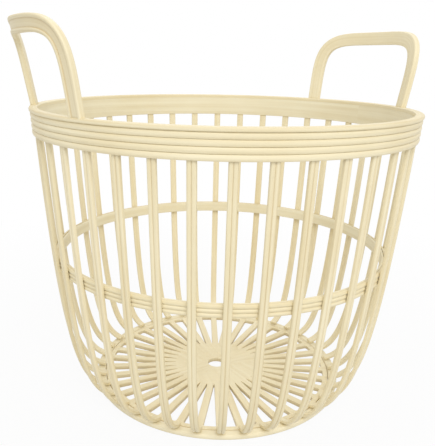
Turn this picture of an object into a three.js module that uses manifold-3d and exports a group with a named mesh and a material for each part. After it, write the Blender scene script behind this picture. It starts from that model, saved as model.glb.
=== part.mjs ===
// Round storage basket of pale cane: staves, hoops, a slotted base plate and two arched handles.
// Millimetres, +Z up, the floor at z = 0, the handles on +X and -X.
import * as THREE from "three";
import { mergeVertices } from "three/addons/utils/BufferGeometryUtils.js";
import Module from "manifold-3d";

// Overall sizes
const RIM_RADIUS = 160; // outer edge of the top hoop
const BODY_HEIGHT = 248; // floor to the top of the rim
const CLEAR = 0.3; // gap left between pieces that touch
const RING_SEGMENTS = 48;

// Staves
const STAVE_COUNT = 38;
const STAVE_WIDTH = 6.3;
const STAVE_DEPTH = 3;
const STAVE_GROOVE = 0.7; // depth of the groove along the middle of the outer face
const STAVE_STATIONS = 13;
const FOOT_SET = 7.2; // stave foot in from the outer face of the base hoop that it lies on
const FOOT_ANGLE = 10; // rise of the wall where it leaves the base, degrees
const FOOT_REACH = 29; // how far the foot's direction carries into the wall
const RIM_ANGLE = 3.7; // outward lean of the wall at the rim, degrees
const RIM_REACH = 200; // how far the rim's direction carries down the wall

// Rim band
const HOOP_COUNT = 5;
const TOP_HEIGHT = 3; // the top hoop, which lies flat
const HOOP_HEIGHT = 4.15;
const HOOP_DEPTH = 1.5;
const LIP = 0.8; // how far the top hoop stands out beyond the hoop below it
const LINER_WALL = 0.8;

// Band at half height
const MID_TOP = 128.5;
const CANE_COUNT = 3;
const CANE_HEIGHT = 3.05;
const CANE_DEPTH = 2.6;
const STRIP_WALL = 1.6;

// Base
const BASE_RADIUS = 113.2; // outer face of the base hoop
const BASE_HOOP_HEIGHT = 4.2;
const BASE_HOOP_WALL = 7.7;
const PLATE_THICKNESS = 3.6;
const PLATE_DROP = 0.3; // top of the plate below the top of the base hoop
const PLATE_BORDER = 4.4; // solid border outside the slots
const DISC_RADIUS = 38.7; // solid disc inside the slots
const SPOKE_WIDTH = 6;
const LEAST_SLOT = 0.5; // a slot ends where it gets narrower than this
const HOLE_RADIUS = 8;

// Handles
const LEG_STAVES = 2.32; // stave pitches from the handle's middle to each leg
const HANDLE_RISE = 60; // middle line of the arch above the rim, along its lean
const HANDLE_LEAN = 9.8; // outward lean, degrees
const HANDLE_WIDTH = 12;
const HANDLE_DEPTH = 5;
const HANDLE_EDGE = 1.2; // depth of the rounding along each edge of the outer face
const HANDLE_BEAD = 3; // width of the raised bead along each edge
const HANDLE_RECESS = 0.9; // depth of the middle of the outer face below the beads
const TENON_DEPTH = 10; // how far a leg's tenon goes down into the rim band
const TENON_WIDTH = 8;
const TENON_THICKNESS = 1.8;
const ARCH_POWER = 5; // 2 is a half ellipse, higher is squarer
const HANDLE_STATIONS = 28;

const kernel = await Module();
kernel.setup();
const { Manifold, Mesh } = kernel;

const RAD = Math.PI / 180;
const UP = new THREE.Vector3(0, 0, 1);
const flat = Math.cos(Math.PI / RING_SEGMENTS); // middle of a ring's facet over its corner
const pitch = (2 * Math.PI) / STAVE_COUNT;
const cane = new THREE.MeshStandardMaterial({ color: 0xe8d8ac, roughness: 0.55 });
const basket = new THREE.Group();
basket.name = "storage_basket";

function add(name, geometry) {
  const mesh = new THREE.Mesh(geometry, cane);
  mesh.name = name;
  basket.add(mesh);
}

// The wall's outer face is one Bezier curve of radius and height, from the stave foot to the stave top
const footLean = FOOT_ANGLE * RAD;
const rimLean = RIM_ANGLE * RAD;
const topRadius = (RIM_RADIUS - LIP - HOOP_DEPTH) * flat - CLEAR;
const topBottom = BODY_HEIGHT - TOP_HEIGHT; // underside of the top hoop
const topHeight = topBottom - CLEAR - STAVE_DEPTH * Math.sin(rimLean);
const footRadius = BASE_RADIUS - FOOT_SET;
const footHeight = BASE_HOOP_HEIGHT + CLEAR;
const wall = new THREE.CubicBezierCurve(
  new THREE.Vector2(footRadius, footHeight),
  new THREE.Vector2(
    footRadius + FOOT_REACH * Math.cos(footLean),
    footHeight + FOOT_REACH * Math.sin(footLean),
  ),
  new THREE.Vector2(
    topRadius - RIM_REACH * Math.sin(rimLean),
    topHeight - RIM_REACH * Math.cos(rimLean),
  ),
  new THREE.Vector2(topRadius, topHeight),
);

// A point of the wall at curve parameter t, set back by depth square to the outer face
function wallPoint(t, depth) {
  const along = wall.getTangent(t);
  const at = wall.getPoint(t);
  return new THREE.Vector2(at.x - depth * along.y, at.y + depth * along.x);
}

// The curve parameter where that line reaches height z
function wallParameter(z, depth) {
  let low = 0;
  let high = 1;
  for (let i = 0; i < 50; i++) {
    const mid = (low + high) / 2;
    if (wallPoint(mid, depth).y < z) low = mid;
    else high = mid;
  }
  return (low + high) / 2;
}

const wallRadius = (z, depth) => wallPoint(wallParameter(z, depth), depth).x;

// Joins equal closed sections, each a list of points, into one closed body with flat ends
function loft(sections) {
  const n = sections[0].length;
  const positions = sections.flat().flatMap((p) => [p.x, p.y, p.z]);
  const index = [];
  for (let s = 0; s + 1 < sections.length; s++) {
    for (let i = 0; i < n; i++) {
      const a = s * n + i;
      const b = s * n + ((i + 1) % n);
      index.push(a, b, b + n);
      index.push(a, b + n, a + n);
    }
  }
  return { n, positions, index, last: (sections.length - 1) * n };
}

// Closes both ends of a loft with the triangles of its flat outline
function capped(sections, outline) {
  const { positions, index, last } = loft(sections);
  for (const [a, b, c] of THREE.ShapeUtils.triangulateShape(outline, [])) {
    index.push(a, c, b);
    index.push(last + a, last + b, last + c);
  }
  const geometry = new THREE.BufferGeometry();
  geometry.setAttribute("position", new THREE.Float32BufferAttribute(positions, 3));
  geometry.setIndex(index);
  geometry.computeVertexNormals();
  return geometry;
}

// A closed ring from a profile of radius and height, listed anticlockwise with radius to the right
function ring(profile) {
  const closed = [...profile, profile[0]].map(([r, z]) => new THREE.Vector2(r, z));
  return new THREE.LatheGeometry(closed, RING_SEGMENTS).rotateX(Math.PI / 2);
}

// Half-round section: a flat inner face and a rounded outer one
function halfRound(inner, depth, bottom, height) {
  const top = bottom + height;
  const outer = inner + depth;
  const bulge = Math.min(0.3 * depth, 0.4 * height);
  return [
    [inner, bottom],
    [outer - bulge, bottom + 0.1 * height],
    [outer, bottom + 0.5 * height],
    [outer - bulge, top - 0.1 * height],
    [inner, top],
  ];
}

// Takes cutters out of a closed geometry
function cut(geometry, cutters) {
  const solid = (g) => {
    const merged = mergeVertices(g.clone().deleteAttribute("normal").deleteAttribute("uv"), 1e-3);
    return new Manifold(
      new Mesh({
        numProp: 3,
        vertProperties: new Float32Array(merged.attributes.position.array),
        triVerts: new Uint32Array(merged.index.array),
      }),
    );
  };
  const { vertProperties, triVerts } = Manifold.difference([geometry, ...cutters].map(solid)).getMesh();
  const left = new THREE.BufferGeometry();
  left.setAttribute("position", new THREE.BufferAttribute(vertProperties, 3));
  left.setIndex(new THREE.BufferAttribute(triVerts, 1));
  left.computeVertexNormals();
  return left;
}

// Stave section: across the stave, and depth from its outermost face
const half = STAVE_WIDTH / 2;
const staveSection = [
  [-half, STAVE_DEPTH],
  [-half, 0.35 * STAVE_DEPTH],
  [-half / 2, 0],
  [0, STAVE_GROOVE],
  [half / 2, 0],
  [half, 0.35 * STAVE_DEPTH],
  [half, STAVE_DEPTH],
].map(([u, d]) => new THREE.Vector2(u, d));

// One stave at an angle round the basket, up to the curve parameter end
function stave(angle, end) {
  const sections = [];
  for (let i = 0; i < STAVE_STATIONS; i++) {
    const t = end * (i / (STAVE_STATIONS - 1));
    sections.push(
      staveSection.map(({ x, y }) => {
        const at = wallPoint(t, y);
        const out = new THREE.Vector3(at.x, x, at.y);
        return out.applyAxisAngle(UP, angle);
      }),
    );
  }
  return capped(sections, staveSection);
}

// Staves, with those under the handles' tenons cut short so that the tenons stand on them
const underTenon = wallParameter(Math.min(topHeight, BODY_HEIGHT - TENON_DEPTH - CLEAR), 0);
const legAngle = LEG_STAVES * pitch;
const beside = ((TENON_WIDTH + STAVE_WIDTH) / 2 + CLEAR) / topRadius;
for (let k = 0; k < STAVE_COUNT; k++) {
  const angle = (k + 0.5) * pitch;
  const fromHandle = Math.min(angle % Math.PI, Math.PI - (angle % Math.PI));
  const short = Math.abs(fromHandle - legAngle) < beside;
  add("stave_" + String(k + 1).padStart(2, "0"), stave(angle, short ? underTenon : 1));
}

// Rim hoops below the top one, round the outside of the stave tops
const hoopPitch = HOOP_HEIGHT + CLEAR;
for (let i = 1; i < HOOP_COUNT; i++) {
  const bottom = topBottom - i * hoopPitch;
  const inner = (wallRadius(bottom + HOOP_HEIGHT, 0) + CLEAR) / flat;
  add("rim_hoop_" + (i + 1), ring(halfRound(inner, HOOP_DEPTH, bottom, HOOP_HEIGHT)));
}

// Smooth liner inside the stave tops
const linerBottom = topBottom - (HOOP_COUNT - 1) * hoopPitch;
const linerLow = wallRadius(linerBottom, STAVE_DEPTH) - CLEAR;
const linerTop = topBottom - CLEAR;
const linerHigh = linerLow + (linerTop - linerBottom) * Math.tan(rimLean);
add(
  "rim_liner",
  ring([
    [linerLow - LINER_WALL, linerBottom],
    [linerLow, linerBottom],
    [linerHigh, linerTop],
    [linerHigh - LINER_WALL, linerTop],
  ]),
);

// The top hoop covers the liner and the stave tops, with a slot for each tenon
const tenonRadius = topRadius + (BODY_HEIGHT - topHeight) * Math.tan(rimLean);
const tenonSlot = new THREE.BoxGeometry(
  TENON_THICKNESS + TOP_HEIGHT * Math.tan(rimLean) + 2 * CLEAR,
  TENON_WIDTH + 2 * CLEAR,
  3 * TOP_HEIGHT,
);
tenonSlot.translate(
  tenonRadius + CLEAR - tenonSlot.parameters.width / 2,
  0,
  topBottom + TOP_HEIGHT / 2,
);
const topInner = linerHigh - LINER_WALL;
const topRound = 0.4 * TOP_HEIGHT;
const legAngles = [legAngle, -legAngle, Math.PI + legAngle, Math.PI - legAngle];
add(
  "rim_hoop_1",
  cut(
    ring([
      [topInner, topBottom],
      [RIM_RADIUS - topRound, topBottom],
      [RIM_RADIUS, topBottom + topRound],
      [RIM_RADIUS, BODY_HEIGHT - topRound],
      [RIM_RADIUS - topRound, BODY_HEIGHT],
      [topInner, BODY_HEIGHT],
    ]),
    legAngles.map((angle) => tenonSlot.clone().rotateZ(angle)),
  ),
);

// Canes inside the staves at half height, and the smooth strip inside the canes
const canePitch = CANE_HEIGHT + CLEAR;
const midHeight = CANE_COUNT * canePitch - CLEAR;
const midBottom = MID_TOP - midHeight;
const caneOuter = (i) => wallRadius(midBottom + i * canePitch, STAVE_DEPTH) - CLEAR;
for (let i = 0; i < CANE_COUNT; i++) {
  const inner = caneOuter(i) - CANE_DEPTH;
  const bottom = midBottom + i * canePitch;
  add("mid_cane_" + (CANE_COUNT - i), ring(halfRound(inner, CANE_DEPTH, bottom, CANE_HEIGHT)));
}
const stripFace = (i) => (caneOuter(i) - CANE_DEPTH) * flat - CLEAR;
const stripSlope = (caneOuter(1) - caneOuter(0)) / canePitch;
const stripLow = stripFace(0) - CANE_HEIGHT * stripSlope;
const stripHigh = stripLow + midHeight * stripSlope;
add(
  "mid_strip",
  ring([
    [stripLow - STRIP_WALL, midBottom],
    [stripLow, midBottom],
    [stripHigh, MID_TOP],
    [stripHigh - STRIP_WALL, MID_TOP],
  ]),
);

// Base hoop, which the basket stands on
const baseInner = BASE_RADIUS - BASE_HOOP_WALL;
const baseRound = 0.35 * BASE_HOOP_HEIGHT;
add(
  "base_hoop",
  ring([
    [baseInner, 0],
    [BASE_RADIUS - baseRound, 0],
    [BASE_RADIUS, baseRound],
    [BASE_RADIUS, BASE_HOOP_HEIGHT - baseRound],
    [BASE_RADIUS - baseRound, BASE_HOOP_HEIGHT],
    [baseInner, BASE_HOOP_HEIGHT],
  ]),
);

// Base plate: a disc with a centre hole, radial slots and a spoke in line with each stave
const plateRadius = baseInner * flat - CLEAR;
const slotOuter = plateRadius - PLATE_BORDER;
const slotInner = Math.max(DISC_RADIUS, (SPOKE_WIDTH + LEAST_SLOT) / (2 * Math.tan(pitch / 2)));
const circle = (radius, count) =>
  Array.from({ length: count }, (_, i) => {
    const a = (i / count) * 2 * Math.PI;
    return new THREE.Vector2(radius * Math.cos(a), radius * Math.sin(a));
  });

// One slot between two spokes, whose sides run parallel to the spokes beside it
function slot(angle) {
  const corner = (radius, side) => {
    const spread = pitch / 2 - Math.asin(SPOKE_WIDTH / 2 / radius);
    const a = angle + side * spread;
    return new THREE.Vector2(radius * Math.cos(a), radius * Math.sin(a));
  };
  const middle = new THREE.Vector2(slotOuter * Math.cos(angle), slotOuter * Math.sin(angle));
  return [corner(slotInner, -1), corner(slotOuter, -1), middle, corner(slotOuter, 1), corner(slotInner, 1)];
}

const plateShape = new THREE.Shape(circle(plateRadius, 2 * STAVE_COUNT));
plateShape.holes.push(new THREE.Path(circle(HOLE_RADIUS, 24)));
for (let k = 0; k < STAVE_COUNT; k++) plateShape.holes.push(new THREE.Path(slot(k * pitch)));
const plate = new THREE.ExtrudeGeometry(plateShape, { depth: PLATE_THICKNESS, bevelEnabled: false });
plate.translate(0, 0, BASE_HOOP_HEIGHT - PLATE_DROP - PLATE_THICKNESS);
add("base_plate", plate);

// Handle section: across the band, and depth from its outermost face, with a bead along each edge
const wide = HANDLE_WIDTH / 2;
const bead = wide - HANDLE_BEAD;
const handleSection = [
  [-wide, HANDLE_DEPTH],
  [-wide, HANDLE_EDGE],
  [-(wide + bead) / 2, 0],
  [-bead, HANDLE_RECESS],
  [bead, HANDLE_RECESS],
  [(wide + bead) / 2, 0],
  [wide, HANDLE_EDGE],
  [wide, HANDLE_DEPTH],
].map(([w, d]) => new THREE.Vector2(w, d));

// The tenon has the same section, drawn in to fit between the hoops and the liner
const tenonSection = handleSection.map(
  ({ x, y }) =>
    new THREE.Vector2(
      x * (TENON_WIDTH / HANDLE_WIDTH),
      RIM_RADIUS - tenonRadius + y * (TENON_THICKNESS / HANDLE_DEPTH),
    ),
);

// The arch's middle line: x round the rim and y up the lean, from one tenon over to the other
const legReach = legAngle * RIM_RADIUS;
const power = 2 / ARCH_POWER;
const archLine = [];
for (let i = 0; i <= HANDLE_STATIONS; i++) {
  const a = (i / HANDLE_STATIONS) * Math.PI;
  const c = Math.cos(a);
  const across = legReach * Math.sign(c) * Math.pow(Math.abs(c), power);
  const up = CLEAR + (HANDLE_RISE - CLEAR) * Math.pow(Math.max(Math.sin(a), 0), power);
  archLine.push(new THREE.Vector2(across, up));
}

// Bends a flat arch point onto the rim's circle and its lean: the wall's lean below the rim, more above
function onRim(x, y, depth, middle) {
  const lean = (y < 0 ? RIM_ANGLE : HANDLE_LEAN) * RAD;
  const radius = RIM_RADIUS + y * Math.sin(lean) - depth;
  const angle = middle + x / RIM_RADIUS;
  const z = BODY_HEIGHT + y * Math.cos(lean);
  return new THREE.Vector3(radius * Math.cos(angle), radius * Math.sin(angle), z);
}

function handle(middle) {
  const tenonAt = (side, height) =>
    tenonSection.map(({ x, y }) => onRim(side * (legReach + x), height, y, middle));
  const arch = archLine.map((p, i) => {
    const before = archLine[Math.max(i - 1, 0)];
    const after = archLine[Math.min(i + 1, archLine.length - 1)];
    const along = after.clone().sub(before).normalize();
    return handleSection.map(({ x, y }) => onRim(p.x + x * along.y, p.y - x * along.x, y, middle));
  });
  const sections = [
    tenonAt(1, -TENON_DEPTH),
    tenonAt(1, 0),
    ...arch,
    tenonAt(-1, 0),
    tenonAt(-1, -TENON_DEPTH),
  ];
  return capped(sections, handleSection);
}

add("handle_right", handle(0));
add("handle_left", handle(Math.PI));

export default basket;
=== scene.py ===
"""A round storage basket of pale cane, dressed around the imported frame."""
import math
import random

import bmesh
import bpy
from mathutils import Matrix, Vector


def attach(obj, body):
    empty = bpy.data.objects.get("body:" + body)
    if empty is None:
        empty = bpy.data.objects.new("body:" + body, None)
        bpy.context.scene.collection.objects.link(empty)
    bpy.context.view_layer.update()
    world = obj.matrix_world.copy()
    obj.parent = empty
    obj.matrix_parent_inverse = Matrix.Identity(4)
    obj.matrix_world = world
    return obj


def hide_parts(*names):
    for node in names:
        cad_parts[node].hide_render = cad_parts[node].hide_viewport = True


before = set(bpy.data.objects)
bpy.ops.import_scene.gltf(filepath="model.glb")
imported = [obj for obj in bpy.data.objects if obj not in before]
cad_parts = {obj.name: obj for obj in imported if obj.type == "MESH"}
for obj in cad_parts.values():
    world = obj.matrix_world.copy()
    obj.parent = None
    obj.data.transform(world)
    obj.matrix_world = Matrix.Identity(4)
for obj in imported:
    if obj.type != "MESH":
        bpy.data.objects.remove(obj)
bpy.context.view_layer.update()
SEED = 38
draw = random.Random(SEED)
MM = 0.001

# Overall sizes in millimetres, the same as those of the solids
RIM_RADIUS = 160
BODY_HEIGHT = 248
CLEAR = 0.3

# Staves
STAVE_COUNT = 38
STAVE_WIDTH = 6.3
STAVE_DEPTH = 3
STAVE_GROOVE = 0.7
STAVE_SHOULDER = 1.2  # depth of the rounding along each edge of the outer face
FOOT_SET = 7.2  # stave foot in from the outer face of the base hoop that it lies on
FOOT_ANGLE = math.radians(10)
FOOT_REACH = 29  # how far the foot's direction carries into the wall
RIM_ANGLE = math.radians(3.7)
RIM_REACH = 200  # how far the rim's direction carries into the wall

# Rim band
HOOP_COUNT = 5
TOP_HEIGHT = 3
HOOP_HEIGHT = 4.15
HOOP_DEPTH = 1.5
LIP = 0.8  # how far the top hoop stands out over the others
LINER_WALL = 0.8

# Band at half height
MID_TOP = 128.5
CANE_COUNT = 3
CANE_HEIGHT = 3.05
CANE_DEPTH = 2.6
STRIP_WALL = 1.6

# Base
BASE_RADIUS = 113.2
BASE_HOOP_HEIGHT = 4.2
BASE_HOOP_WALL = 7.7
PLATE_THICKNESS = 3.6
PLATE_DROP = 0.3  # plate's top below the hoop's top
PLATE_BORDER = 4.4
DISC_RADIUS = 38.7
SPOKE_WIDTH = 6
LEAST_SLOT = 0.5
HOLE_RADIUS = 8

# Handles
LEG_STAVES = 2.32  # each leg's place from the handle's middle, in stave pitches
HANDLE_RISE = 60
HANDLE_LEAN = math.radians(9.8)
HANDLE_WIDTH = 12
HANDLE_DEPTH = 5
HANDLE_EDGE = 1.2
HANDLE_BEAD = 3
HANDLE_RECESS = 0.9
TENON_DEPTH = 10
TENON_WIDTH = 8
TENON_THICKNESS = 1.8
ARCH_POWER = 5  # how square the arch is, where 2 is an ellipse

# Small roundings and gaps that finish the edges
END_ROUND = 0.4
STAVE_CORNER = 0.5
CANE_ROUND = 0.7  # rounding along the outer edges of hoops and canes
CANE_CROWN = 0.38  # crown of their outer faces
CANE_SWELL = 0.11  # how far they swell into the gaps between them
CROWN_ANGLE = 20  # degrees at which their roundings run into the crown
TOP_ROUND = 1.2  # rounding along the outer edges of the top hoop
TOP_INNER_ROUND = 0.8
LINER_ROUND = 0.45
STRIP_ROUND = 0.5
BACK_ROUND = 0.3  # edges that lie against another piece
JOINT_ROUND = 0.05  # edges at the joint of the liner and the top hoop
JOINT_GAP = 0.05  # gap that shows at that joint
BASE_ROUND = 0.35 * BASE_HOOP_HEIGHT
BASE_CREST_ROUND = 0.45 * BASE_HOOP_HEIGHT
PLATE_EDGE = 0.45
SLOT_TIP = 0.2  # corners at the narrow end of the plate's slots
SLOT_CORNER = 1.6  # corners at their wide end
HANDLE_INNER_ROUND = 0.9
RECESS_CROWN = 0.12  # crown of the handles' outer face between its beads
LEG_GAP = 0.05  # gap that shows under a handle leg

# Painted shade, which deepens the tone of a surface where shade falls, where 1 is the deepest
GROOVE_PAINTED_SHADE = 0.36  # painted shade in the staves' grooves and between hoops
EDGE_FADE = 0.35  # how far it fades up a cane's rounding, as a share of the rounding
GROOVE_FADE = 0.55  # how far it fades up a stave's ridge, as a share of the ridge
GROOVE_POWER = 1.5
BEAD_PAINTED_SHADE = 0.6  # painted shade beside the handles' beads
BEAD_PAINTED_SHADE_REACH = 1.6
BEAD_PAINTED_SHADE_DEPTHS = 0.3, 1.01  # where it starts and ends, as shares of the recess
RIM_PAINTED_SHADE = 0.3  # painted shade over the top of the rim
RIM_PAINTED_SHADE_REACH = 0.5 * TOP_ROUND  # how far up its outer edge it fades in
INNER_PAINTED_SHADE = 0.08  # painted shade on the top hoop's inner face
INNER_PAINTED_SHADE_REACH = 1
BASE_PAINTED_SHADE = 0.5  # painted shade down the base hoop's inner face
BASE_PAINTED_SHADE_REACH = 0.2 * BASE_HOOP_HEIGHT
PLATE_RIM_PAINTED_SHADE = 0.6  # painted shade on the plate's outer edge
PLATE_RIM_REACH = 0.5
PLATE_SKIN = 0.1  # top and bottom of the plate's walls, which have no painted shade

# Steps that the curves are drawn in
RING_STEPS = 240
STAVE_STEPS = 96
HANDLE_STEPS = 150
ARCH_STEPS = 2000  # along the arch before its points are spaced evenly
RECESS_STEPS = 4
HOLE_STEPS = 64
BROAD_STEPS = 6  # in a broad rounding
CANE_STEPS = 5  # in a middling one
CORNER_STEPS = 4  # in a small one
PLATE_EDGE_STEPS = 2
HALVINGS = 50  # of the wall's curve to find a height

# Finish of the meshes
SHARP = math.radians(50)  # the angle from which an edge shows as sharp
SHARP_CUT = math.radians(40)  # the same on a piece with slots cut in it
GRAIN_SHIFT = 9  # metres within which a piece's grain starts at random
SPOKE_SHIFT = 40  # millimetres of grain between spokes, for each radian round the plate
WELD = 0.01  # millimetres within which the plate's points are joined
THROUGH = 1  # how far a cutter stands out of what it cuts

PITCH = 2 * math.pi / STAVE_COUNT
LEG_ANGLE = LEG_STAVES * PITCH


def arc(middle, reach, start, end, steps):
    """Points of an elliptical arc between two angles in degrees."""
    points = []
    for i in range(steps + 1):
        a = math.radians(start + (end - start) * i / steps)
        points.append((middle[0] + reach[0] * math.cos(a), middle[1] + reach[1] * math.sin(a)))
    return points


def rounded(corners, steps=CORNER_STEPS):
    """A closed outline whose corners (x, y, radius) are rounded."""
    outline = []
    for i, (x, y, radius) in enumerate(corners):
        here = Vector((x, y))
        back = (Vector(corners[i - 1][:2]) - here).normalized()
        on = (Vector(corners[(i + 1) % len(corners)][:2]) - here).normalized()
        half = back.angle(on) / 2
        reach = radius / math.tan(half)
        middle = here + (back + on).normalized() * radius / math.sin(half)
        first = here + back * reach - middle
        last = here + on * reach - middle
        for k in range(steps + 1):
            spoke = first.lerp(last, k / steps).normalized() * radius
            outline.append(tuple(middle + spoke))
    return outline


def mirrored(right):
    """A whole section (across, depth) from its right half."""
    return right + [(-u, d) for u, d in reversed(right[1:])]


# The wall's outer face: one curve of radius and height, from the stave foot to the stave top
top_bottom = BODY_HEIGHT - TOP_HEIGHT
top_radius = RIM_RADIUS - LIP - HOOP_DEPTH - CLEAR
top_height = top_bottom - CLEAR - STAVE_DEPTH * math.sin(RIM_ANGLE)
foot_radius = BASE_RADIUS - FOOT_SET
foot_height = BASE_HOOP_HEIGHT + CLEAR
WALL = [
    Vector((foot_radius, foot_height)),
    Vector((
        foot_radius + FOOT_REACH * math.cos(FOOT_ANGLE),
        foot_height + FOOT_REACH * math.sin(FOOT_ANGLE),
    )),
    Vector((
        top_radius - RIM_REACH * math.sin(RIM_ANGLE),
        top_height - RIM_REACH * math.cos(RIM_ANGLE),
    )),
    Vector((top_radius, top_height)),
]


def wall_point(t, depth):
    """Radius and height of the wall at curve parameter t, set back by depth from the outer face."""
    s = 1 - t
    at = s**3 * WALL[0] + 3 * s * s * t * WALL[1] + 3 * s * t * t * WALL[2] + t**3 * WALL[3]
    first, second, third = (b - a for a, b in zip(WALL, WALL[1:]))
    along = s * s * first + 2 * s * t * second + t * t * third
    along.normalize()
    return at.x - depth * along.y, at.y + depth * along.x


def wall_parameter(z, depth):
    """The curve parameter at which the wall, set back by depth, is at height z."""
    low, high = 0.0, 1.0
    for _ in range(HALVINGS):
        middle = (low + high) / 2
        if wall_point(middle, depth)[1] < z:
            low = middle
        else:
            high = middle
    return (low + high) / 2


def wall_radius(z, depth):
    """The radius of the wall, set back by depth, at height z."""
    return wall_point(wall_parameter(z, depth), depth)[0]


def around(radius, across, z, angle):
    """A point given in the upright plane at an angle round the basket."""
    c, s = math.cos(angle), math.sin(angle)
    return Vector((radius * c - across * s, radius * s + across * c, z))


def joined(sections, closed):
    """Joins equal sections into points, faces, and each face corner's place in the grain."""
    n, count = len(sections[0]), len(sections)
    middles = [sum(section, Vector()) / n for section in sections]
    along = [0.0]
    for i in range(count if closed else count - 1):
        along.append(along[-1] + (middles[(i + 1) % count] - middles[i]).length)
    widest = sections[count // 2]
    across = [0.0]
    for i in range(n):
        across.append(across[-1] + (widest[(i + 1) % n] - widest[i]).length)
    faces, grain = [], []
    for s in range(len(along) - 1):
        a, b = s * n, (s + 1) % count * n
        for i in range(n):
            j = (i + 1) % n
            faces.append((a + i, a + j, b + j, b + i))
            for place in ((s, i), (s, i + 1), (s + 1, i + 1), (s + 1, i)):
                grain.append((along[place[0]], across[place[1]]))
    if not closed:
        for s in (0, count - 1):
            faces.append(tuple(s * n + i for i in range(n)))
            grain.extend((along[s], across[i]) for i in range(n))
    return [p for section in sections for p in section], faces, grain


def placed(name, data):
    """A new object in the scene."""
    made = bpy.data.objects.new(name, data)
    bpy.context.scene.collection.objects.link(made)
    return made


def baked(source):
    """The mesh that an object comes to with its modifiers or curve settings."""
    view = bpy.context.evaluated_depsgraph_get()
    return bpy.data.meshes.new_from_object(source.evaluated_get(view), depsgraph=view)


def smoothed(mesh, sharp):
    """Shades a mesh smooth, apart from its sharp edges."""
    mesh.shade_smooth()
    mesh.set_sharp_from_angle(angle=sharp)


def piece(node, shape, painted_shades, material):
    """Makes the piece that stands for a CAD node, with painted shade for each of its points."""
    vertices, faces, grain = shape
    name = node + "_cane"
    mesh = bpy.data.meshes.new(name)
    mesh.from_pydata([v * MM for v in vertices], [], faces)
    shift = draw.uniform(0, GRAIN_SHIFT), draw.uniform(0, GRAIN_SHIFT)
    layer = mesh.uv_layers.new(name="grain")
    places = [x for u, v in grain for x in (u * MM + shift[0], v * MM + shift[1])]
    layer.data.foreach_set("uv", places)
    tone = draw.random()
    # Each point holds its painted shade, in red, and the piece's random tone, in green
    shade = mesh.color_attributes.new("shade", "FLOAT_COLOR", "POINT")
    shade.data.foreach_set("color", [x for painted_shade in painted_shades for x in (painted_shade, tone, 0, 1)])
    facing = bmesh.new()
    facing.from_mesh(mesh)
    bmesh.ops.recalc_face_normals(facing, faces=facing.faces)
    facing.to_mesh(mesh)
    facing.free()
    smoothed(mesh, SHARP)
    mesh.materials.append(material)
    made = placed(name, mesh)
    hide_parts(node)
    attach(made, "root")
    return made


def ring(node, outline, painted_shades, material):
    """A ring from a closed outline of radius and height."""
    angles = [2 * math.pi * i / RING_STEPS for i in range(RING_STEPS)]
    sections = [[around(r, 0, z, a) for r, z in outline] for a in angles]
    return piece(node, joined(sections, True), painted_shades * RING_STEPS, material)


def half_round(inner, depth, bottom, height):
    """A section with a flat inner face and a gently crowned outer one, and painted shade at its
    edges.
    """
    low, top = bottom - CANE_SWELL, bottom + height + CANE_SWELL
    flank = inner + depth - CANE_ROUND - CANE_CROWN
    size = CANE_ROUND, CANE_ROUND
    outline = [(inner, low)]
    outline += arc((flank, low + CANE_ROUND), size, -90, -CROWN_ANGLE, CANE_STEPS)
    edge, edge_height = outline[-1]
    reach = (top - low) / 2 - (edge_height - low)
    for i in range(1, 2 * CANE_STEPS):
        s = i / CANE_STEPS - 1
        crowned = edge + (inner + depth - edge) * (1 - s * s)
        outline.append((crowned, (low + top) / 2 + s * reach))
    outline += arc((flank, top - CANE_ROUND), size, CROWN_ANGLE, 90, CANE_STEPS)
    outline.append((inner, top))
    # Painted shade in the grooves between hoops and canes, fading up each rounding
    fade = EDGE_FADE * CANE_ROUND
    painted_shades = [GROOVE_PAINTED_SHADE * min(1, max(0, (flank + fade - r) / fade)) for r, _ in outline]
    return outline, painted_shades


def carve(target, cutters):
    """Takes the cutters' space out of a piece."""
    for cutter in cutters:
        modifier = target.modifiers.new("carve", "BOOLEAN")
        modifier.operation = "DIFFERENCE"
        modifier.solver = "EXACT"
        modifier.object = cutter
    mesh = baked(target)
    mesh.name = target.name
    target.modifiers.clear()
    target.data = mesh
    smoothed(mesh, SHARP_CUT)
    for cutter in cutters:
        bpy.data.objects.remove(cutter)


def block(low, high, angle):
    """A plain block in the upright plane at an angle, used only as a cutter."""
    mesh = bpy.data.meshes.new("cutter")
    cube = bmesh.new()
    bmesh.ops.create_cube(cube, size=1)
    for v in cube.verts:
        r, u, z = (low[k] + (high[k] - low[k]) * (v.co[k] + 0.5) for k in range(3))
        v.co = around(r, u, z, angle) * MM
    cube.to_mesh(mesh)
    cube.free()
    return placed("cutter", mesh)


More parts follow.
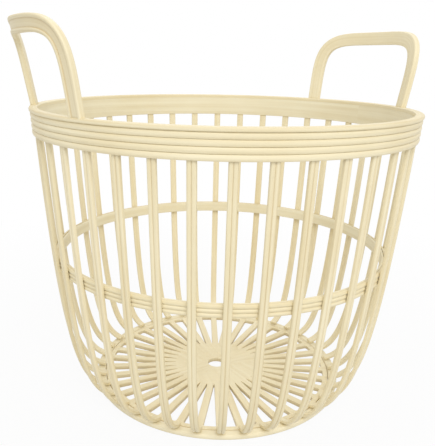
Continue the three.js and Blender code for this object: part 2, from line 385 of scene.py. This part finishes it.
class Nodes:
    """A short way to lay out a material's nodes."""

    MIX_A, MIX_B, MIX_RESULT = 6, 7, 2  # the colour sockets of a mix node

    def __init__(self, tree):
        self.tree = tree

    def add(self, kind, inputs=None, **settings):
        """A new node, with values or links for its inputs by name."""
        node = self.tree.nodes.new(kind)
        for name, value in settings.items():
            setattr(node, name, value)
        for name, value in (inputs or {}).items():
            self.put(node.inputs[name], value)
        return node

    def put(self, socket, value):
        """Links a socket to another one, or sets its value."""
        if isinstance(value, bpy.types.NodeSocket):
            self.tree.links.new(value, socket)
        else:
            socket.default_value = value

    def math(self, operation, a, b):
        """What an operation makes of two values."""
        node = self.add("ShaderNodeMath", operation=operation)
        self.put(node.inputs[0], a)
        self.put(node.inputs[1], b)
        return node.outputs[0]

    def span(self, value, low, high):
        """Maps 0 to 1 onto low to high."""
        inputs = {"Value": value, "To Min": low, "To Max": high}
        return self.add("ShaderNodeMapRange", inputs).outputs["Result"]

    def share(self, value, low, high):
        """Maps low to high onto 0 to 1."""
        inputs = {"Value": value, "From Min": low, "From Max": high}
        return self.add("ShaderNodeMapRange", inputs).outputs["Result"]

    def noise(self, vector, scale, detail, roughness):
        """Soft noise from 0 to 1, scaled for each axis."""
        mapped = self.add("ShaderNodeMapping", {"Vector": vector, "Scale": scale}).outputs[0]
        inputs = {"Vector": mapped, "Scale": 1.0, "Detail": detail, "Roughness": roughness}
        return self.add("ShaderNodeTexNoise", inputs).outputs["Fac"]

    def blend(self, how, amount, a, b):
        """Mixes two colours."""
        node = self.add("ShaderNodeMix", data_type="RGBA", blend_type=how)
        self.put(node.inputs["Factor"], amount)
        self.put(node.inputs[self.MIX_A], a)
        self.put(node.inputs[self.MIX_B], b)
        return node.outputs[self.MIX_RESULT]

    def shaders(self, amount, a, b):
        """Mixes two shaders."""
        node = self.add("ShaderNodeMixShader", {"Fac": amount})
        self.put(node.inputs[1], a)
        self.put(node.inputs[2], b)
        return node.outputs[0]


# Cane colours: each piece drifts between a pale and a deep one, and a tint darkens each detail; the
# last tint is painted shade
PALE = (0.948, 0.880, 0.662, 1)
DEEP = (0.826, 0.722, 0.474, 1)
FLAT_PALE = (0.945, 0.898, 0.718, 1)
FLAT_DEEP = (0.824, 0.740, 0.518, 1)
# Painted light: a paler copy of the cane for the base hoop, which lifts it out of the shade near
# the floor
BASE_PAINTED_LIGHT_PALE = (0.970, 0.910, 0.710, 1)
BASE_PAINTED_LIGHT_DEEP = (0.890, 0.805, 0.570, 1)
FIBRE_TINT, FIBRE_AMOUNT = (0.82, 0.74, 0.58, 1), 0.45
TONE_TINT, TONE_AMOUNT = (0.90, 0.88, 0.78, 1), 0.30
PORE_TINT, PORE_AMOUNT = (0.62, 0.50, 0.34, 1), 0.18
# Painted shade: the tint and amount for the darkened grooves, recesses and joints
PAINTED_SHADE_TINT, PAINTED_SHADE_AMOUNT = (0.74, 0.64, 0.48, 1), 0.7

# Noise cells per metre, and the noise values that count as drift or pores
PATCH_SCALE = (14, 14, 14)
PORE_SCALE = (420, 3600, 1)
DRIFT_STREAKS, DRIFT_PATCHES = 0.6, 0.4
DRIFT_RANGE = 0.32, 0.68
PORE_RANGE = 0.7, 0.76
PORE_DEPTH = 0.4  # depth of a pore beside the height of the fibres
BUMP_DISTANCE = 0.00025


def cane_material(name, pale, deep, fibre, streak):
    """Peeled cane, with fibres and streaks scaled along, across and through the grain."""
    material = bpy.data.materials.new(name)
    material.use_nodes = True
    nodes = Nodes(material.node_tree)
    shader = material.node_tree.nodes["Principled BSDF"]
    grain = nodes.add("ShaderNodeUVMap", uv_map="grain").outputs[0]
    place = nodes.add("ShaderNodeTexCoord").outputs["Object"]
    # Painted shade in red and the piece's random tone in green, for each point
    shade = nodes.add("ShaderNodeVertexColor", layer_name="shade").outputs["Color"]
    parts = nodes.add("ShaderNodeSeparateColor", {"Color": shade})
    painted_shade, tone = parts.outputs["Red"], parts.outputs["Green"]

    fibres = nodes.noise(grain, fibre, detail=6.0, roughness=0.62)
    streaks = nodes.noise(grain, streak, detail=3.0, roughness=0.5)
    patches = nodes.noise(place, PATCH_SCALE, detail=2.0, roughness=0.5)
    pores = nodes.share(nodes.noise(grain, PORE_SCALE, detail=1.0, roughness=0.5), *PORE_RANGE)

    streaks = nodes.math("MULTIPLY", streaks, DRIFT_STREAKS)
    patches = nodes.math("MULTIPLY", patches, DRIFT_PATCHES)
    drift = nodes.share(nodes.math("ADD", streaks, patches), *DRIFT_RANGE)
    colour = nodes.blend("MIX", drift, deep, pale)
    # Fibres, the piece's tone, pores, and painted shade each darken the colour
    for amount, tint in (
        (nodes.span(fibres, FIBRE_AMOUNT, 0.0), FIBRE_TINT),
        (nodes.span(tone, 0.0, TONE_AMOUNT), TONE_TINT),
        (nodes.math("MULTIPLY", pores, PORE_AMOUNT), PORE_TINT),
        (nodes.math("MULTIPLY", painted_shade, PAINTED_SHADE_AMOUNT), PAINTED_SHADE_TINT),
    ):
        colour = nodes.blend("MULTIPLY", amount, colour, tint)
    nodes.put(shader.inputs["Base Color"], colour)
    nodes.put(shader.inputs["Roughness"], nodes.span(fibres, 0.40, 0.60))
    nodes.put(shader.inputs["Specular IOR Level"], 0.4)
    nodes.put(shader.inputs["Coat Weight"], 0.08)
    nodes.put(shader.inputs["Coat Roughness"], 0.35)
    height = nodes.math("SUBTRACT", fibres, nodes.math("MULTIPLY", pores, PORE_DEPTH))
    bump = {"Height": height, "Strength": 0.35, "Distance": BUMP_DISTANCE}
    nodes.put(shader.inputs["Normal"], nodes.add("ShaderNodeBump", bump).outputs[0])
    return material


stave_cane = cane_material("stave_cane", PALE, DEEP, (28, 2600, 1), (7, 520, 1))
hoop_cane = cane_material("hoop_cane", PALE, DEEP, (24, 2400, 1), (5, 480, 1))
# The base hoop's paler cane is painted light
base_cane_painted_light = cane_material("base_cane_painted_light", BASE_PAINTED_LIGHT_PALE, BASE_PAINTED_LIGHT_DEEP, (24, 2400, 1), (5, 480, 1))
flat_cane = cane_material("flat_cane", FLAT_PALE, FLAT_DEEP, (20, 1500, 1), (5, 260, 1))
plate_cane = cane_material("plate_cane", PALE, DEEP, (40, 1300, 1), (9, 220, 1))

# Stave section: across, and depth from the outer face, with a groove between two rounded ridges
half = STAVE_WIDTH / 2
ridge = half / 2
back_corner = half - STAVE_CORNER, STAVE_DEPTH - STAVE_CORNER
stave_right = arc((ridge, STAVE_GROOVE), (ridge, -STAVE_GROOVE), 180, 90, BROAD_STEPS)
stave_right += arc((ridge, STAVE_SHOULDER), (ridge, -STAVE_SHOULDER), 90, 0, BROAD_STEPS)[1:]
stave_right += arc(back_corner, (STAVE_CORNER, STAVE_CORNER), 0, 90, CORNER_STEPS)
stave_section = mirrored(stave_right)


def groove_painted_shade(u, d):
    """Painted shade along the groove of a stave."""
    if d >= STAVE_DEPTH / 2:
        return 0
    return GROOVE_PAINTED_SHADE * max(0, 1 - abs(u) / (GROOVE_FADE * ridge)) ** GROOVE_POWER


def inset(section, width, depth):
    """The same section drawn in by the rounding of an end."""
    narrow = 1 - 2 * END_ROUND / width
    thin = 1 - 2 * END_ROUND / depth
    return [(u * narrow, depth / 2 + (d - depth / 2) * thin) for u, d in section]


def stave(angle, end):
    """The sections of one stave up to the curve parameter end, with both ends rounded off."""
    tip = END_ROUND / BODY_HEIGHT
    stations = [tip + (end - 2 * tip) * i / STAVE_STEPS for i in range(STAVE_STEPS + 1)]
    small = inset(stave_section, STAVE_WIDTH, STAVE_DEPTH)
    sections = []
    for t, section in [(0, small)] + [(t, stave_section) for t in stations] + [(end, small)]:
        points = []
        for u, d in section:
            r, z = wall_point(t, d)
            points.append(around(r, u, z, angle))
        sections.append(points)
    return sections


# Staves, with those under the handles' tenons cut short
# Painted shade in each stave's groove
stave_painted_shades = [groove_painted_shade(u, d) for u, d in stave_section]
under_tenon = wall_parameter(BODY_HEIGHT - TENON_DEPTH - CLEAR, 0)
beside = ((TENON_WIDTH + STAVE_WIDTH) / 2 + CLEAR) / top_radius
for k in range(STAVE_COUNT):
    angle = (k + 0.5) * PITCH
    from_handle = min(angle % math.pi, math.pi - angle % math.pi)
    sections = stave(angle, under_tenon if abs(from_handle - LEG_ANGLE) < beside else 1)
    painted_shades = stave_painted_shades * len(sections)
    piece(f"stave_{k + 1:02d}", joined(sections, False), painted_shades, stave_cane)

# Rim hoops below the top one
hoop_pitch = HOOP_HEIGHT + CLEAR
for i in range(1, HOOP_COUNT):
    top = top_bottom - CLEAR - (i - 1) * hoop_pitch
    inner = wall_radius(min(top, top_height), 0) + CLEAR
    outline, painted_shades = half_round(inner, HOOP_DEPTH, top - HOOP_HEIGHT, HOOP_HEIGHT)
    ring(f"rim_hoop_{i + 1}", outline, painted_shades, hoop_cane)

# Smooth liner inside the stave tops
liner_bottom = top_bottom - (HOOP_COUNT - 1) * hoop_pitch
liner_low = wall_radius(liner_bottom, STAVE_DEPTH) - CLEAR
liner_top = top_bottom - CANE_SWELL - JOINT_GAP
liner_high = liner_low + (liner_top - liner_bottom) * math.tan(RIM_ANGLE)
liner_outline = rounded([
    (liner_low - LINER_WALL, liner_bottom, LINER_ROUND),
    (liner_low, liner_bottom, BACK_ROUND),
    (liner_high, liner_top, JOINT_ROUND),
    (liner_high - LINER_WALL, liner_top, JOINT_ROUND),
])
ring("rim_liner", liner_outline, [0] * len(liner_outline), flat_cane)

# Top hoop, which covers the staves and the liner
top_inner = liner_high - LINER_WALL
top_outline = rounded([
    (top_inner, top_bottom - CANE_SWELL, JOINT_ROUND),
    (RIM_RADIUS, top_bottom - CANE_SWELL, TOP_ROUND),
    (RIM_RADIUS, BODY_HEIGHT, TOP_ROUND),
    (top_inner, BODY_HEIGHT, TOP_INNER_ROUND),
], BROAD_STEPS)


def top_painted_shade(r, z):
    """Painted shade over the top of the rim and on its inner face."""
    if r < top_inner + INNER_PAINTED_SHADE_REACH:
        return INNER_PAINTED_SHADE
    return RIM_PAINTED_SHADE * min(1, max(0, (z - BODY_HEIGHT + TOP_ROUND) / RIM_PAINTED_SHADE_REACH))


top_hoop = ring("rim_hoop_1", top_outline, [top_painted_shade(r, z) for r, z in top_outline], hoop_cane)

# Handle section: across the band, and depth from its outer face, with a bead along each edge
wide = HANDLE_WIDTH / 2
bead = HANDLE_BEAD / 2
groove = wide - 2 * bead
back_corner = wide - HANDLE_INNER_ROUND, HANDLE_DEPTH - HANDLE_INNER_ROUND
handle_right = []
for i in range(RECESS_STEPS):
    u = i / RECESS_STEPS
    handle_right.append((u * groove, HANDLE_RECESS - RECESS_CROWN * (1 - u * u)))
handle_right += arc((wide - bead, HANDLE_RECESS), (bead, -HANDLE_RECESS), 180, 90, BROAD_STEPS)
handle_right += arc((wide - bead, HANDLE_EDGE), (bead, -HANDLE_EDGE), 90, 0, BROAD_STEPS)[1:]
handle_right += arc(back_corner, (HANDLE_INNER_ROUND, HANDLE_INNER_ROUND), 0, 90, CANE_STEPS)
handle_section = mirrored(handle_right)


def bead_painted_shade(u, d):
    """Painted shade beside the beads of a handle."""
    start, end = BEAD_PAINTED_SHADE_DEPTHS
    if not start < d / HANDLE_RECESS < end:
        return 0
    return BEAD_PAINTED_SHADE * max(0, 1 - abs(abs(u) - groove) / BEAD_PAINTED_SHADE_REACH)


# The tenon has the same section, drawn in to fit between the hoops and the liner
tenon_radius = top_radius + (BODY_HEIGHT - top_height) * math.tan(RIM_ANGLE)
tenon_start = RIM_RADIUS - tenon_radius
tenon_section = [
    (u * TENON_WIDTH / HANDLE_WIDTH, tenon_start + d * TENON_THICKNESS / HANDLE_DEPTH)
    for u, d in handle_section
]
leg_reach = LEG_ANGLE * RIM_RADIUS


def arch_line():
    """The arch's middle line, evenly spaced: x round the rim, and y up the lean."""
    power = 2 / ARCH_POWER
    fine = []
    for i in range(ARCH_STEPS + 1):
        a = math.pi * i / ARCH_STEPS
        x = math.copysign(abs(math.cos(a)) ** power, math.cos(a))
        y = LEG_GAP + (HANDLE_RISE - LEG_GAP) * max(math.sin(a), 0) ** power
        fine.append(Vector((leg_reach * x, y)))
    far = [0.0]
    for a, b in zip(fine, fine[1:]):
        far.append(far[-1] + (b - a).length)
    line, k = [], 0
    for i in range(HANDLE_STEPS + 1):
        want = far[-1] * i / HANDLE_STEPS
        while k < len(far) - 2 and far[k + 1] < want:
            k += 1
        line.append(fine[k].lerp(fine[k + 1], (want - far[k]) / (far[k + 1] - far[k])))
    return line


def on_rim(x, y, depth, middle):
    """Bends a flat arch point onto the rim's circle and lean."""
    lean = RIM_ANGLE if y < 0 else HANDLE_LEAN
    radius = RIM_RADIUS + y * math.sin(lean) - depth
    return around(radius, 0, BODY_HEIGHT + y * math.cos(lean), middle + x / RIM_RADIUS)


def over_edge(depth):
    """How far the end of a leg reaches down over the rounded edge of the top hoop."""
    inside = max(TOP_ROUND - depth, 0)
    return TOP_ROUND - math.sqrt(TOP_ROUND**2 - inside**2)


def leg_end(side, middle):
    """The sections of one leg's end, from the tenon's tip up to the hoop."""
    sections = []
    for height in (-TENON_DEPTH, -TOP_ROUND - LEG_GAP):
        sections.append([
            on_rim(side * (leg_reach + u), height, d, middle) for u, d in tenon_section
        ])
    rest = []
    for u, d in handle_section:
        point = on_rim(side * (leg_reach + u), LEG_GAP, d, middle)
        rest.append(point - Vector((0, 0, over_edge(d))))
    return sections + [rest]


# Handles
# Painted shade beside the beads
handle_painted_shades = [bead_painted_shade(u, d) for u, d in handle_section]
line = arch_line()
for node, middle in (("handle_right", 0), ("handle_left", math.pi)):
    sections = leg_end(1, middle)
    for before, p, after in zip(line, line[1:], line[2:]):
        along = (after - before).normalized()
        sections.append([
            on_rim(p.x + u * along.y, p.y - u * along.x, d, middle) for u, d in handle_section
        ])
    sections += leg_end(-1, middle)[::-1]
    piece(node, joined(sections, False), handle_painted_shades * len(sections), hoop_cane)

# Slots for the tenons through the top hoop
slot_half = TENON_WIDTH / 2 + CLEAR
low = (tenon_radius - TENON_THICKNESS - CLEAR, -slot_half, top_bottom - THROUGH)
high = (tenon_radius + CLEAR, slot_half, BODY_HEIGHT + THROUGH)
carve(top_hoop, [block(low, high, m + s * LEG_ANGLE) for m in (0, math.pi) for s in (-1, 1)])

# Canes inside the staves at half height
cane_pitch = CANE_HEIGHT + CLEAR
mid_height = CANE_COUNT * cane_pitch - CLEAR
mid_bottom = MID_TOP - mid_height
cane_bottoms = [mid_bottom + i * cane_pitch for i in range(CANE_COUNT)]
cane_outer = [wall_radius(bottom, STAVE_DEPTH) - CLEAR for bottom in cane_bottoms]
for i, (bottom, outer) in enumerate(zip(cane_bottoms, cane_outer)):
    outline, painted_shades = half_round(outer - CANE_DEPTH, CANE_DEPTH, bottom, CANE_HEIGHT)
    ring(f"mid_cane_{CANE_COUNT - i}", outline, painted_shades, hoop_cane)

# Smooth strip inside the canes
slope = (cane_outer[1] - cane_outer[0]) / cane_pitch
strip_low = cane_outer[0] - CANE_DEPTH - CLEAR - CANE_HEIGHT * slope
strip_high = strip_low + mid_height * slope
strip_outline = rounded([
    (strip_low - STRIP_WALL, mid_bottom, STRIP_ROUND),
    (strip_low, mid_bottom, BACK_ROUND),
    (strip_high, MID_TOP, BACK_ROUND),
    (strip_high - STRIP_WALL, MID_TOP, STRIP_ROUND),
])
ring("mid_strip", strip_outline, [0] * len(strip_outline), flat_cane)

# Base hoop
base_inner = BASE_RADIUS - BASE_HOOP_WALL
base_outline = rounded([
    (base_inner, 0, BACK_ROUND),
    (BASE_RADIUS, 0, BASE_ROUND),
    (BASE_RADIUS, BASE_HOOP_HEIGHT, BASE_CREST_ROUND),
    (base_inner, BASE_HOOP_HEIGHT, BASE_ROUND),
], BROAD_STEPS)
# Painted shade down the base hoop's inner face
base_painted_shades = [BASE_PAINTED_SHADE * max(0, 1 - (r - base_inner) / BASE_PAINTED_SHADE_REACH) for r, _ in base_outline]
ring("base_hoop", base_outline, base_painted_shades, base_cane_painted_light)

# Base plate: a disc with a centre hole and a slot between each two spokes
plate_top = BASE_HOOP_HEIGHT - PLATE_DROP
plate_radius = base_inner - CLEAR
slot_outer = plate_radius - PLATE_BORDER
slot_inner = max(DISC_RADIUS, (SPOKE_WIDTH + LEAST_SLOT) / (2 * math.tan(PITCH / 2)))


def circle(radius, steps):
    """Points of a circle about the basket's axis."""
    angles = [2 * math.pi * i / steps for i in range(steps)]
    return [(radius * math.cos(a), radius * math.sin(a)) for a in angles]


def slot_outline(angle):
    """One slot, whose sides run parallel to the spokes beside it, with rounded corners."""
    inner, outer = (slot_inner, SLOT_TIP), (slot_outer, SLOT_CORNER)
    corners = []
    for side, (radius, corner) in ((-1, inner), (-1, outer), (1, outer), (1, inner)):
        a = angle + side * (PITCH / 2 - math.asin(SPOKE_WIDTH / 2 / radius))
        corners.append((radius * math.cos(a), radius * math.sin(a), corner))
    return rounded(corners)


def plate():
    """The plate as a filled flat outline with thickness and rounded edges."""
    curve = bpy.data.curves.new("plate", "CURVE")
    curve.dimensions = "2D"
    curve.fill_mode = "BOTH"
    curve.extrude = (PLATE_THICKNESS / 2 - PLATE_EDGE) * MM
    curve.bevel_depth = PLATE_EDGE * MM
    curve.bevel_resolution = PLATE_EDGE_STEPS
    curve.offset = -PLATE_EDGE * MM
    outlines = [circle(plate_radius, 2 * RING_STEPS), circle(HOLE_RADIUS, HOLE_STEPS)[::-1]]
    outlines += [slot_outline(k * PITCH)[::-1] for k in range(STAVE_COUNT)]
    for outline in outlines:
        spline = curve.splines.new("POLY")
        spline.points.add(len(outline) - 1)
        spline.points.foreach_set("co", [c for x, y in outline for c in (x * MM, y * MM, 0, 1)])
        spline.use_cyclic_u = True
    holder = placed("plate", curve)
    mesh = baked(holder)
    bpy.data.objects.remove(holder)
    welded = bmesh.new()
    welded.from_mesh(mesh)
    bmesh.ops.remove_doubles(welded, verts=welded.verts, dist=WELD * MM)
    raised = Vector((0, 0, plate_top - PLATE_THICKNESS / 2))
    vertices = [v.co / MM + raised for v in welded.verts]
    faces, grain = [], []
    for face in welded.faces:
        faces.append(tuple(v.index for v in face.verts))
        centre = face.calc_center_median()
        spoke = (math.floor(math.atan2(centre.y, centre.x) / PITCH) + 0.5) * PITCH
        for v in face.verts:
            away = (math.atan2(v.co.y, v.co.x) - spoke + math.pi) % (2 * math.pi) - math.pi
            radius = v.co.length / MM
            grain.append((radius, radius * away + SPOKE_SHIFT * spoke))
    welded.free()
    return vertices, faces, grain


def wall_painted_shade(point):
    """Painted shade, deeper towards the bottom of the walls of the plate's slots and hole, and all
    over its outer edge.
    """
    below = plate_top - point.z
    if not PLATE_SKIN < below < PLATE_THICKNESS - PLATE_SKIN:
        return 0
    if point.xy.length > plate_radius - PLATE_RIM_REACH:
        return PLATE_RIM_PAINTED_SHADE
    return below / PLATE_THICKNESS


plate_shape = plate()
piece("base_plate", plate_shape, [wall_painted_shade(point) for point in plate_shape[0]], plate_cane)

# Floor, white to the eye, with the basket's shadow left on it, in metres
FLOOR_HALF = 4
FLOOR_GREY = (0.72, 0.72, 0.72, 1)
FLOOR_WHITE = 0.92  # share of plain white near the basket in the floor that the eye sees
FLOOR_NEAR, FLOOR_FAR = 0.2, 0.6  # where that share starts to rise, and where it is whole
WHITE = (1, 1, 1, 1)
floor_mesh = bpy.data.meshes.new("floor")
corners = [(-1, -1), (1, -1), (1, 1), (-1, 1)]
floor_corners = [(x * FLOOR_HALF, y * FLOOR_HALF, 0) for x, y in corners]
floor_mesh.from_pydata(floor_corners, [], [(0, 1, 2, 3)])
floor = placed("floor", floor_mesh)


def seen(nodes):
    """1 for what the eye sees directly, in a reflection or through glass."""
    path = nodes.add("ShaderNodeLightPath").outputs
    direct = nodes.math("MAXIMUM", path["Is Camera Ray"], path["Is Glossy Ray"])
    return nodes.math("MAXIMUM", direct, path["Is Transmission Ray"])


floor_paint = bpy.data.materials.new("floor_paint")
floor_paint.use_nodes = True
floor_paint.node_tree.nodes.clear()
nodes = Nodes(floor_paint.node_tree)
matt = nodes.add("ShaderNodeBsdfDiffuse", {"Color": FLOOR_GREY}).outputs[0]
white = nodes.add("ShaderNodeEmission", {"Color": WHITE, "Strength": 1.0}).outputs[0]
away = nodes.add("ShaderNodeVectorMath", operation="LENGTH")
nodes.put(away.inputs[0], nodes.add("ShaderNodeTexCoord").outputs["Object"])
fade = {
    "Value": away.outputs["Value"],
    "From Min": FLOOR_NEAR,
    "From Max": FLOOR_FAR,
    "To Min": FLOOR_WHITE,
    "To Max": 1.0,
}
whiteness = nodes.add("ShaderNodeMapRange", fade).outputs["Result"]
painted = nodes.shaders(nodes.math("MULTIPLY", seen(nodes), whiteness), matt, white)
nodes.add("ShaderNodeOutputMaterial", {"Surface": painted})
floor_mesh.materials.append(floor_paint)

# Soft light from all round, before a background that the eye sees as white
WORLD_LIGHT = 0.80
world = bpy.data.worlds.new("studio")
bpy.context.scene.world = world
world.use_nodes = True
world.node_tree.nodes.clear()
nodes = Nodes(world.node_tree)
soft = nodes.add("ShaderNodeBackground", {"Color": WHITE, "Strength": WORLD_LIGHT}).outputs[0]
plain = nodes.add("ShaderNodeBackground", {"Color": WHITE, "Strength": 1.0}).outputs[0]
nodes.add("ShaderNodeOutputWorld", {"Surface": nodes.shaders(seen(nodes), soft, plain)})

# A large lamp high in front, a little to the right of the camera, and a weaker one high behind
LAMP_SIZE = 1.2
LAMP_AIM = Vector((0, 0, 0.16))
KEY_PLACE, KEY_WATTS = Vector((-0.5, -1.6, 1.7)), 19
FILL_PLACE, FILL_WATTS = Vector((0.9, 1.5, 1.7)), 6


def lamp(name, place, watts):
    """A round lamp that aims at the middle of the basket."""
    light = bpy.data.lights.new(name, "AREA")
    light.shape = "DISK"
    light.size = LAMP_SIZE
    light.energy = watts
    made = placed(name, light)
    made.location = place
    made.rotation_euler = (LAMP_AIM - place).to_track_quat("-Z", "Y").to_euler()


lamp("key", KEY_PLACE, KEY_WATTS)
lamp("fill", FILL_PLACE, FILL_WATTS)

# Camera at the photograph's viewing angle, fitted in a frame turned from the part's own
FRAME_WIDTH, FRAME_HEIGHT = 435, 446  # the image in pixels
FOCAL_PIXELS = 572.19
AXIS_PIXEL = 195.0  # where the camera's axis meets the image, from the left
SENSOR = 36
TURN = math.radians(-31.0)
YAW, PITCH_DOWN, ROLL = -0.04622, 0.27954, 0.01677
CAMERA_BACK, CAMERA_HEIGHT = 3.09968 * RIM_RADIUS, 1.78709 * RIM_RADIUS
forward = Vector((
    math.sin(YAW) * math.cos(PITCH_DOWN),
    math.cos(YAW) * math.cos(PITCH_DOWN),
    -math.sin(PITCH_DOWN),
))
right = Vector((math.cos(YAW), -math.sin(YAW), 0))
up = right.cross(forward)
rolled_right = math.cos(ROLL) * right + math.sin(ROLL) * up
rolled_up = math.cos(ROLL) * up - math.sin(ROLL) * right
axes = Matrix((rolled_right, rolled_up, -forward)).transposed().to_4x4()
place = Matrix.Translation(Vector((0, -CAMERA_BACK, CAMERA_HEIGHT)) * MM)
camera_data = bpy.data.cameras.new("camera")
camera_data.sensor_width = SENSOR
camera_data.lens = FOCAL_PIXELS / FRAME_HEIGHT * SENSOR
camera_data.shift_x = -(AXIS_PIXEL - FRAME_WIDTH / 2) / FRAME_HEIGHT
camera = placed("camera", camera_data)
camera.matrix_world = Matrix.Rotation(TURN, 4, "Z") @ place @ axes
bpy.context.scene.camera = camera
bpy.context.scene.view_settings.view_transform = "Standard"
